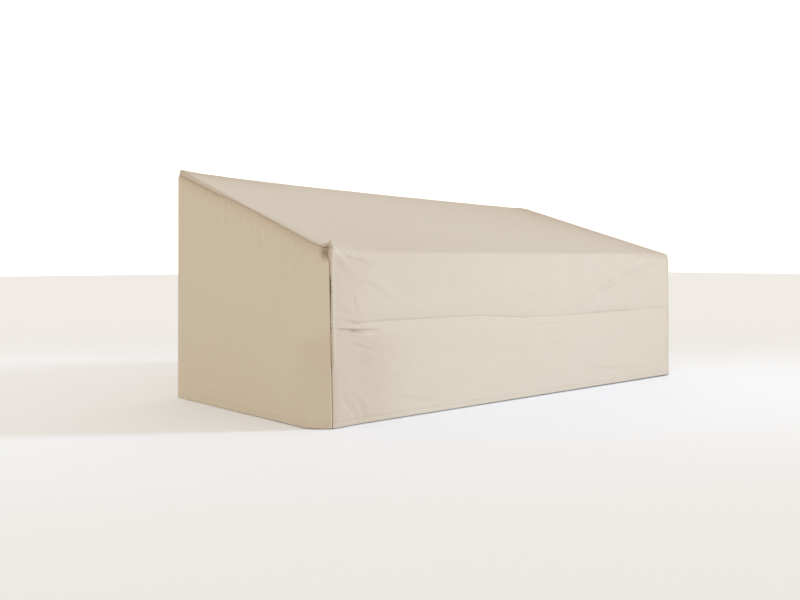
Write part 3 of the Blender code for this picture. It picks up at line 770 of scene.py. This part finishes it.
# Coated Oxford polyester, plain woven from thick dull yarns and then heat set. It gives a matt,
# even beige with slubby yarns a shade lighter or darker, both ways of the weave, and a weak sheen
# at a grazing angle.
THREAD = 0.0026  # drawn about three times as coarse as the real yarns, so that the weave shows
SLUB_LENGTH, SLUB_WIDTH = 0.045, 0.0030
SLUB_SHADES = (0.70, 1.00)  # the slubbiness at which a yarn is darkest and palest
CLOUD_SIZE = 0.35
WAVE_UNIT = 2 * pi / 20  # the length of one wave of a wave texture at scale 1
# The hem is held by one row of lockstitch in thread of the same beige.
STITCH_HEIGHT = 0.019  # above the fold of the hem
STITCH_PITCH, STITCH_SHARE = 0.0044, 0.68
STITCH_HALF, STITCH_DENT = 0.0005, 0.0030
STITCH_RISE, DENT_EDGE = 0.8, 0.3  # how far a stitch fills its dent, and how soft the dent is
# The relief of the cloth, from fine to coarse.
Bump = namedtuple("Bump", "height strength distance")
BUMPS = (
    Bump("yarns", 0.35, 0.0004),
    Bump("slubs", 0.20, 0.0004),
    Bump("clouds", 0.25, 0.0040),
    Bump("stitches", 0.70, 0.0008),
)
DEEPEST_PAINTED_SHADE = "#EEE8E3"  # what the cloth keeps of its colour under the deepest painted shade: darker and browner


def woven_polyester(name, beige, pale, dark):
    cloth = bpy.data.materials.new(name)
    cloth.use_nodes = True
    surface = cloth.node_tree.nodes["Principled BSDF"]
    flat = add_node(cloth, "ShaderNodeUVMap", {"uv_map": "Flat"}).outputs["UV"]
    yarns = []
    slubs = []
    for along in (0, 1):
        stretch = [1 / SLUB_WIDTH, 1 / SLUB_WIDTH, 1]
        stretch[along] = 1 / SLUB_LENGTH
        turned = add_node(cloth, "ShaderNodeMapping", {"Scale": stretch}, {"Vector": flat})
        slub = add_node(
            cloth,
            "ShaderNodeTexNoise",
            {"noise_dimensions": "2D", "Scale": 1.0, "Detail": 2.0, "Roughness": 0.6},
            {"Vector": turned.outputs["Vector"]},
        )
        slubs.append(slub.outputs["Fac"])
        yarn = add_node(
            cloth,
            "ShaderNodeTexWave",
            {
                "bands_direction": "XY"[along],
                "Scale": WAVE_UNIT / THREAD,
                "Distortion": 0.4,
                "Detail": 1.0,
                "Detail Scale": 0.2,
            },
            {"Vector": flat},
        )
        yarns.append(yarn.outputs["Fac"])
    both = maths(cloth, "ADD", *slubs)
    weave = maths(cloth, "MULTIPLY", *yarns)
    cloud = add_node(
        cloth,
        "ShaderNodeTexNoise",
        {"noise_dimensions": "2D", "Scale": 1 / CLOUD_SIZE, "Detail": 3.0, "Roughness": 0.55},
        {"Vector": flat},
    ).outputs["Fac"]
    shade = add_node(cloth, "ShaderNodeValToRGB", {}, {"Fac": both})
    for stop, position, colour in zip(shade.color_ramp.elements, SLUB_SHADES, (dark, pale)):
        stop.position, stop.color = position, hex_colour(colour)
    evenly = {"data_type": "RGBA", "Factor": 0.5, "B": hex_colour(beige)}
    ground = add_node(cloth, "ShaderNodeMix", evenly, {"A": shade.outputs["Color"]})
    # Painted shade: where the attribute says, the colour is multiplied towards a darker, browner
    # tone.
    painted_shade = add_node(cloth, "ShaderNodeAttribute", {"attribute_name": "Painted_shade_amount"}).outputs["Fac"]
    darker = {"data_type": "RGBA", "blend_type": "MULTIPLY", "B": hex_colour(DEEPEST_PAINTED_SHADE)}
    shaded_colour = add_node(cloth, "ShaderNodeMix", darker, {"Factor": painted_shade, "A": ground.outputs[2]})
    cloth.node_tree.links.new(shaded_colour.outputs[2], surface.inputs["Base Color"])
    place = add_node(cloth, "ShaderNodeSeparateXYZ", {}, {"Vector": flat}).outputs
    above = maths(cloth, "SUBTRACT", place["Y"], STITCH_HEIGHT)
    from_line = maths(cloth, "ABSOLUTE", above)
    slope = maths(cloth, "DIVIDE", from_line, -STITCH_DENT)
    dent = maths(cloth, "SMOOTH_MAX", slope, -1.0, DENT_EDGE)
    along = maths(cloth, "FRACT", maths(cloth, "DIVIDE", place["X"], STITCH_PITCH))
    in_stitch = maths(cloth, "LESS_THAN", along, STITCH_SHARE)
    on_line = maths(cloth, "LESS_THAN", from_line, STITCH_HALF)
    stitch = maths(cloth, "MULTIPLY", in_stitch, on_line)
    relief = maths(cloth, "SUBTRACT", maths(cloth, "MULTIPLY", stitch, STITCH_RISE), dent)
    heights = {"yarns": weave, "slubs": both, "clouds": cloud, "stitches": relief}
    links = {}
    for bump in BUMPS:
        links["Height"] = heights[bump.height]
        settings = {"Strength": bump.strength, "Distance": bump.distance}
        links["Normal"] = add_node(cloth, "ShaderNodeBump", settings, links).outputs["Normal"]
    cloth.node_tree.links.new(links["Normal"], surface.inputs["Normal"])
    surface.inputs["Roughness"].default_value = 0.90
    surface.inputs["Specular IOR Level"].default_value = 0.15
    surface.inputs["Sheen Weight"].default_value = 0.03
    surface.inputs["Sheen Roughness"].default_value = 0.5
    return cloth


def make_top_and_front():
    wall_rows = ABOVE_CREASE + IN_CREASE + BELOW_CREASE
    rows = TOP_KNOTS + wall_rows + len(HEM_TURNS) - 1 + HEM_ROWS

    def top_knot(column, row):
        ends = [side_y(side, row) for side in (LEFT, RIGHT)]
        x = span_x(column, *[side_x(side, y, FRONT_HEIGHT) for side, y in zip((LEFT, RIGHT), ends)])
        y = top_y(row, x)
        side = sign(x)
        met = ends[0] if side == LEFT else ends[1]
        from_seam = abs(side_x(side, met, FRONT_HEIGHT) - x)
        if 0 < row < TOP_KNOTS - 1 or from_seam == 0:
            y = blend(met, y, ease(from_seam / NEAR_SEAM[-1]))
        point = top_point(x, y)
        over = max(1 - (y + DEPTH / 2) / read(FRONT_EDGE, x, "reach"), 0.0)
        point.y -= front_rise(x, point.z) * over**2
        point.z += crumple((x, y, 0), TOP_CRUMPLES) * ease(from_seam / CRUMPLE_START)
        return point, outward(x, y, FRONT_HEIGHT)

    def front_knot(column, row):
        ends = [seam_point(side, FRONT, FRONT_HEIGHT).x for side in (LEFT, RIGHT)]
        z = crease_z(row, span_x(column, *ends))
        x = span_x(column, *[seam_point(side, FRONT, z).x for side in (LEFT, RIGHT)])
        point = Vector((x, end_y(FRONT, x, z), z))
        direction = outward(*point)
        return point + direction * front_rise(x, z), direction

    def place(column, row):
        at_side = column <= 1 or column >= SPAN_COLUMNS - 1
        turned = column in (0, SPAN_COLUMNS) or row == 0
        top_row = max(row - 1, 0)
        step = row - TOP_KNOTS - wall_rows
        if top_row < TOP_KNOTS:
            point, direction = top_knot(column, top_row)
        else:
            point, direction = front_knot(column, row - TOP_KNOTS)
        side = sign(point.x)
        ear = lump_rise(EAR, point)
        if at_side:
            point += direction * lump_rise(HOLLOW, point)
        elif top_row > SLOPE_START:
            point += (direction + Vector((0, 0, 1))) * lump_rise(BUNCH, point)
        point.z += ear
        if at_side and top_row < TOP_KNOTS:
            point.z += seam_lift(side, side_y(side, top_row))
        elif top_row == 0:
            point.z += SEAM_HALF
        if at_side and top_row >= TOP_KNOTS - 1:
            point.x -= side * seam_half(side, FRONT, point.z)
            direction = seam_outward(side, FRONT)
        if step > 0:
            point.z = hem_height(point.x, point.y)
            return hem_knot(point, direction, step)
        if turned:
            return point - direction * ALLOWANCE
        roll = SEAM_ROLL
        if top_row >= TOP_KNOTS:
            roll = blend(SLACK_ROLL, UPRIGHT_ROLL, taut(side, point.z))
        sink = seam_sink(span_from_seam(column), roll)
        if top_row <= SLOPE_START:
            under_ridge = read(RIDGE, point.x, "reach") * radians(RIDGE_TURNS[top_row])
            sink = max(sink, seam_sink(under_ridge, SEAM_ROLL))
        return point - direction * sink

    def cut(column, row):
        return column in (0, SPAN_COLUMNS - 1) and (row == 0 or row >= TOP_KNOTS + wall_rows - 1)

    # Painted shade on the top along its side seams, the ridge and the right edge, and on the front
    # low on the left and beside its left seam.
    def shade_to_paint(column, row, point):
        if row - 1 < TOP_KNOTS:
            reach = blend(*TOP_SEAM_PAINTED_SHADE, ease((WIDER_FROM - point.y) / WIDER_FADE))
            by_seam = max(1 - span_from_seam(column) / reach, 0.0) ** 2
            from_ridge = max(DEPTH / 2 - point.y, 0.0) / RIDGE_PAINTED_SHADE_REACH
            by_ridge = blend(RIDGE_PAINTED_SHADE, 1.0, ease((LEFT_BACK_PAINTED_SHADE - point.x) / PAINTED_SHADE_FADE))
            by_ridge *= max(1 - from_ridge, 0.0) ** 2
            from_right = (WIDTH / 2 - point.x) / RIGHT_PAINTED_SHADE_REACH
            return max(by_seam, by_ridge, max(1 - from_right, 0.0) ** 2)
        low = ease((LOW_PAINTED_SHADE_TOP - point.z) / LOW_PAINTED_SHADE_FADE_UP)
        low_shade = LOW_PAINTED_SHADE * low * ease((LOW_PAINTED_SHADE_RIGHT - point.x) / PAINTED_SHADE_FADE)
        return max(low_shade, CORNER_PAINTED_SHADE * ease((CORNER_PAINTED_SHADE_RIGHT - point.x) / CORNER_PAINTED_SHADE_FADE))

    hem_row = TOP_KNOTS + wall_rows
    return sewn_cloth("Top_and_front", SPAN_COLUMNS, rows, hem_row, place, cut, shade_to_paint)


FRONT_BEIGE, FRONT_PALE, FRONT_DARK = "#C2B8AA", "#C6BCAE", "#BEB4A5"

top_and_front = make_top_and_front()
top_and_front.data.materials.append(
    woven_polyester("Oxford_polyester_beige", FRONT_BEIGE, FRONT_PALE, FRONT_DARK)
)
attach(top_and_front, "root")
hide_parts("top_and_front")


# ---------------------------------------------------------------- left end
# A trapezoid of the same cloth, cut across the roll. It wraps round its two upright corners and is
# sewn to the top along the slope, where short gathers hang from the seam.

# Gathers: how far apart, how far they stand out, how far down they reach, and where they start.
Gather = namedtuple("Gather", "pitch rise length start")
GATHERS = (
    Gather(0.078, 0.0034, 0.085, 0.020),
    Gather(0.043, 0.0020, 0.120, 0.010),
    Gather(0.024, 0.0011, 0.220, 0.008),
)
GATHER_WANDER, GATHER_PACE = 2, 9  # how unevenly the gathers follow each other
# Small diagonal puckers hang from the seam near the front.
PUCKERS = (
    Fold(-0.300, 0.745, -0.215, 0.690, 0.0060, -0.0034),
    Fold(-0.280, 0.730, -0.195, 0.670, 0.0060, 0.0026),
    Fold(-0.360, 0.718, -0.270, 0.640, 0.0065, -0.0030),
    Fold(-0.390, 0.710, -0.330, 0.620, 0.0065, 0.0026),
    Fold(-0.440, 0.690, -0.370, 0.600, 0.0065, -0.0032),
    Fold(-0.470, 0.680, -0.430, 0.580, 0.0065, 0.0026),
    Fold(-0.505, 0.665, -0.480, 0.570, 0.0060, -0.0030),
)
PUCKER_START = 0.012
CORNER_STILL = 0.075  # how far from its corners an end's folds have their full height
END_SWELLS = (
    Swell(0.100, 0.400, 0.300, 0.250, 0.005),
    Swell(-0.330, 0.180, 0.140, 0.150, 0.003),
)
END_FOLDS = (
    Fold(-0.480, 0.060, -0.300, 0.120, 0.0160, 0.0018),
    Fold(-0.440, 0.030, -0.200, 0.070, 0.0140, -0.0016),
    Fold(0.100, 0.050, 0.420, 0.090, 0.0160, 0.0016),
    Fold(-0.500, 0.560, -0.420, 0.420, 0.0150, 0.0018),
    Fold(-0.470, 0.600, -0.360, 0.500, 0.0150, -0.0018),
)
BELOW_SEAM = (0.0016, 0.0036, 0.0062, 0.0094, 0.0130, 0.020, 0.030, 0.042, 0.056, 0.072)
END_ROWS = {LEFT: 84, RIGHT: 36}
COLUMNS_PER_ROW = {LEFT: 6, RIGHT: 2}
SEAM_STEPS = (0.22, 0.55)  # closer columns beside an upright seam
END_SEAM_PAINTED_SHADE = 0.055  # how far below its sloped seam shade is painted on an end
END_LOW_PAINTED_SHADE, END_LOW_PAINTED_SHADE_BACK = 0.40, -0.300  # and painted shade low beside the front left corner


def wall_z(row, rows, top, hem):
    """The height of a row of an end or the back: 1 is the seam at its top, the last the hem."""
    row = min(max(row, 1), rows)
    if row == 1:
        return top
    if row - 2 < len(BELOW_SEAM):
        return top - BELOW_SEAM[row - 2]
    start = len(BELOW_SEAM) + 1
    return blend(top - BELOW_SEAM[-1], hem + HEM_FOLD / 2, (row - start) / (rows - start))


def end_rise(side, y, z):
    """How far an end stands out of its plane."""
    rise = swell_rise(END_SWELLS, y, z) + sum(fold_rise(fold, y, z) for fold in END_FOLDS)
    below = seam_height(side, y) - z
    if side == LEFT:
        rise += sum(fold_rise(fold, y, z) for fold in PUCKERS) * ease(below / PUCKER_START)
        for gather in GATHERS:
            wave = cos(2 * pi * y / gather.pitch + GATHER_WANDER * sin(y * GATHER_PACE))
            fade = ease(below / gather.start) * exp(-below / gather.length)
            rise += gather.rise * wave * fade
    rise += crumple((0, y, z), END_CRUMPLES)
    return rise * ease((DEPTH / 2 - abs(y)) / CORNER_STILL) * ease(z / STILL_HEM)


def make_end(side, name):
    """An end: a trapezoid of cloth that wraps round its two upright corners."""
    rows_met = [side_y(side, row) for row in range(TOP_KNOTS)]
    heights = [seam_height(side, y) - seam_lift(side, y) for y in rows_met]
    stations = [(rows_met[0], heights[0])]
    for row, (here, there) in enumerate(zip(rows_met, rows_met[1:])):
        steps = COLUMNS_PER_ROW[side] if SLOPE_START <= row < SLOPE_END else 1
        parts = [step / steps for step in range(1, steps + 1)]
        if row == 0:
            parts = [*SEAM_STEPS, 1.0]
        elif row == TOP_KNOTS - 2:
            parts = [1 - part for part in SEAM_STEPS[::-1]] + [1.0]
        for part in parts:
            stations.append((blend(here, there, part), blend(*heights[row : row + 2], part)))
    columns = len(stations) + 1
    wall_rows = 1 + len(BELOW_SEAM) + END_ROWS[side]
    rows = wall_rows + len(HEM_TURNS) - 1 + HEM_ROWS

    def place(column, row):
        station = min(max(column - 1, 0), len(stations) - 1)
        y, top = stations[station]
        end = sign(y)
        at_seam = station in (0, len(stations) - 1)
        hem = hem_height(side * WIDTH / 2, y)
        z = wall_z(row, wall_rows, top, hem)
        top_radius, radius = corner_radius(side, end, FRONT_HEIGHT), corner_radius(side, end, z)
        past = abs(y) - (DEPTH / 2 - top_radius)
        from_seam = SEAM_ROLL
        if past > 0:
            turn = corner_turn(side, end, past, top_radius)
            from_seam = radius * (radians(CORNERS[side, end].wrap) - turn)
            turn -= seam_half(side, end, z) / radius if at_seam else 0
            point = corner_point(side, end, turn, z)
        else:
            along = y * corner_centre(side, end, z)[1] / corner_centre(side, end, FRONT_HEIGHT)[1]
            point = Vector((side * half_width(side, z), along, z))
        direction = seam_outward(side, end) if at_seam else outward(*point)
        point += direction * end_rise(side, y, z)
        if side == LEFT:
            point.z += lump_rise(EAR, point)
            point += direction * lump_rise(HOLLOW, point)
        step = row - wall_rows
        if step > 0:
            point.z = hem
            return hem_knot(point, direction, step)
        if row == 0 or column in (0, columns):
            return point - direction * ALLOWANCE
        below = BELOW_SEAM[min(row - 2, len(BELOW_SEAM) - 1)] if row > 1 else 0.0
        sink = max(seam_sink(from_seam, UPRIGHT_ROLL), seam_sink(below, SEAM_ROLL))
        return point - direction * sink

    def cut(column, row):
        return column in (0, columns - 1) and (row == 0 or row >= wall_rows - 1)

    # Painted shade below the sloped seam, and low beside the front left corner.
    def shade_to_paint(column, row, point):
        below = stations[min(max(column - 1, 0), len(stations) - 1)][1] - point.z
        low = ease((LOW_PAINTED_SHADE_TOP - point.z) / LOW_PAINTED_SHADE_FADE_UP) if side == LEFT else 0.0
        by_corner = END_LOW_PAINTED_SHADE * low * ease((END_LOW_PAINTED_SHADE_BACK - point.y) / PAINTED_SHADE_FADE)
        return max(max(1 - below / END_SEAM_PAINTED_SHADE, 0.0) ** 2, by_corner)

    return sewn_cloth(name, columns, rows, wall_rows, place, cut, shade_to_paint)


# The ends and the back take the same cloth as the top and front, tinted warmer: a painted tone of
# the warm shade they lie in.
SHADE_TINTED_BEIGE, SHADE_TINTED_PALE, SHADE_TINTED_DARK = "#C4B9A6", "#C8BDAA", "#C0B5A1"

shade_tinted_polyester = woven_polyester("Oxford_polyester_beige_painted_shade_tint", SHADE_TINTED_BEIGE, SHADE_TINTED_PALE, SHADE_TINTED_DARK)
left_end = make_end(LEFT, "Left_end")
left_end.data.materials.append(shade_tinted_polyester)
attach(left_end, "root")
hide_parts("left_end")


# ---------------------------------------------------------------- right end
# The same trapezoid on the other side, where the ridge has sunk and the back corner is slack.

right_end = make_end(RIGHT, "Right_end")
right_end.data.materials.append(shade_tinted_polyester)
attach(right_end, "root")
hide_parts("right_end")


# ---------------------------------------------------------------- back
# The tall upright rectangle, sewn to the top under the ridge and to both ends. It hangs slack.

BACK_SWELLS = (
    Swell(-0.450, 0.450, 0.400, 0.300, 0.005),
    Swell(0.500, 0.400, 0.400, 0.260, 0.006),
)
BACK_FOLDS = (
    Fold(-0.950, 0.920, -0.500, 0.700, 0.030, 0.0030),
    Fold(-0.980, 0.800, -0.600, 0.560, 0.034, -0.0030),
    Fold(0.950, 0.860, 0.450, 0.640, 0.032, 0.0032),
    Fold(0.980, 0.720, 0.600, 0.500, 0.036, -0.0028),
    Fold(-0.200, 0.900, -0.150, 0.500, 0.040, -0.0024),
    Fold(0.150, 0.880, 0.200, 0.480, 0.040, 0.0026),
    Fold(-0.900, 0.480, 0.900, 0.470, 0.012, -0.0022),
)
BACK_STILL = 0.200  # how far from its sides the back's folds have their full height
BACK_ROWS = 44
BACK_COLUMNS = 150


def back_rise(x, z):
    """How far the back stands out of its plane."""
    rise = swell_rise(BACK_SWELLS, x, z) + sum(fold_rise(fold, x, z) for fold in BACK_FOLDS)
    rise += crumple((x, 0, z), BACK_CRUMPLES)
    return rise * ease((WIDTH / 2 - abs(x)) / BACK_STILL) * ease(z / STILL_HEM)


def back_x(column, left, right):
    """The x of a column of the back, closer together beside its seams."""
    from_left = min(max(column - 1, 0), BACK_COLUMNS - 2)
    from_right = BACK_COLUMNS - 2 - from_left
    near = len(NEAR_SEAM)
    if from_left < near:
        return left + NEAR_SEAM[from_left]
    if from_right < near:
        return right - NEAR_SEAM[from_right]
    part = (from_left - near + 1) / (BACK_COLUMNS - 2 * near)
    return blend(left + NEAR_SEAM[-1], right - NEAR_SEAM[-1], part)


def make_back():
    wall_rows = 1 + len(BELOW_SEAM) + BACK_ROWS
    rows = wall_rows + len(HEM_TURNS) - 1 + HEM_ROWS

    def place(column, row):
        at_side = column <= 1 or column >= BACK_COLUMNS - 1
        x = back_x(column, *[seam_point(side, BACK, FRONT_HEIGHT).x for side in (LEFT, RIGHT)])
        top = top_point(x, end_y(BACK, x, FRONT_HEIGHT)).z - SEAM_HALF
        z = wall_z(row, wall_rows, top, hem_height(x, DEPTH / 2))
        x = back_x(column, *[seam_point(side, BACK, z).x for side in (LEFT, RIGHT)])
        if at_side:
            x -= sign(x) * SEAM_HALF
        point = Vector((x, end_y(BACK, x, z), z))
        direction = seam_outward(sign(x), BACK) if at_side else outward(*point)
        point += direction * back_rise(x, z)
        step = row - wall_rows
        if step > 0:
            point.z = hem_height(x, DEPTH / 2)
            return hem_knot(point, direction, step)
        if row == 0 or column in (0, BACK_COLUMNS):
            return point - direction * ALLOWANCE
        from_end = min(max(column - 1, 0), BACK_COLUMNS - 1 - column, len(NEAR_SEAM) - 1)
        below = BELOW_SEAM[min(row - 2, len(BELOW_SEAM) - 1)] if row > 1 else 0.0
        beside = seam_sink(NEAR_SEAM[max(from_end, 0)], UPRIGHT_ROLL)
        return point - direction * max(beside, seam_sink(below, SEAM_ROLL))

    def cut(column, row):
        return column in (0, BACK_COLUMNS - 1) and (row == 0 or row >= wall_rows - 1)

    return sewn_cloth("Back", BACK_COLUMNS, rows, wall_rows, place, cut)


back = make_back()
back.data.materials.append(shade_tinted_polyester)
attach(back, "root")
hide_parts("back")
